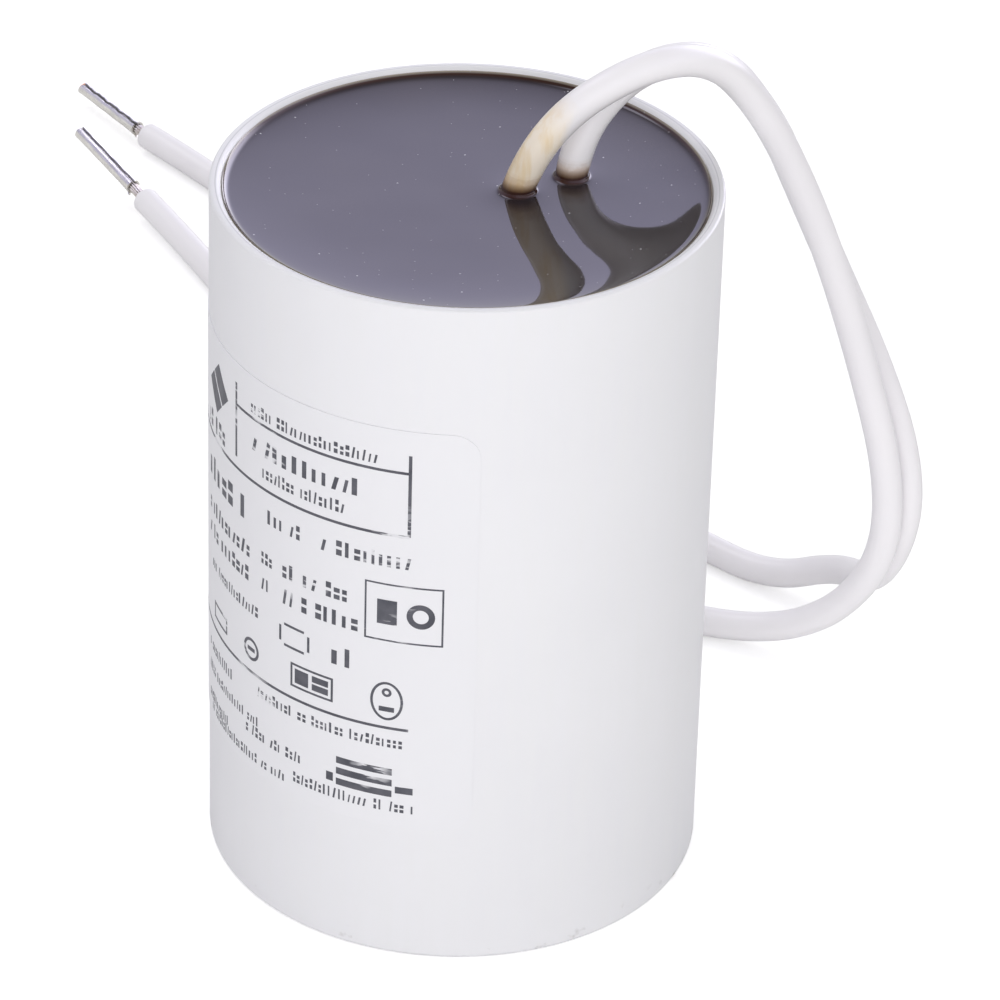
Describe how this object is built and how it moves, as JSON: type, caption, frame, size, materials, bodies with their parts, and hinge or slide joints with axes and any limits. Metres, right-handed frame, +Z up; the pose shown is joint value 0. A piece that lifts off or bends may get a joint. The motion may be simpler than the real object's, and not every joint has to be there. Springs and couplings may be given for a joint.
{
  "type": "motor capacitor with leads",
  "caption": "White cylindrical motor capacitor: a plastic can sealed with dark potting resin, with long insulated leads that end in crimped sleeves.",
  "frame": {"origin": "the middle of the can's flat base", "axes": "+Z up along the can's axis, out of its resin-filled mouth; the picture is taken looking along +Y, with the leads' arch towards +X"},
  "size_m": [0.0885, 0.1619, 0.0783],
  "materials": {
    "case_plastic": "satin",
    "label_film": "satin",
    "resin": "gloss",
    "metallised_film": "gloss",
    "core_plastic": "satin",
    "wrap_film": "gloss",
    "sprayed_metal": "matte",
    "lead_insulation": "satin",
    "tinned_strands": "satin",
    "solder": "satin",
    "sleeve_metal": "polished"
  },
  "bodies": {
    "root": {"case": "case_plastic", "label": "label_film", "potting_resin": "resin", "wound_film": "metallised_film", "winding_core": "core_plastic", "film_wrap": "wrap_film", "bottom_contact_layer": "sprayed_metal", "top_contact_layer": "sprayed_metal", "front_lead": "lead_insulation", "rear_lead": "lead_insulation", "front_lead_strands": "tinned_strands", "rear_lead_strands": "tinned_strands", "front_lead_inner_strands": "tinned_strands", "rear_lead_inner_strands": "tinned_strands", "bottom_solder_joint": "solder", "top_solder_joint": "solder", "front_crimp_sleeve": "sleeve_metal", "rear_crimp_sleeve": "sleeve_metal"}
  },
  "joints": []
}
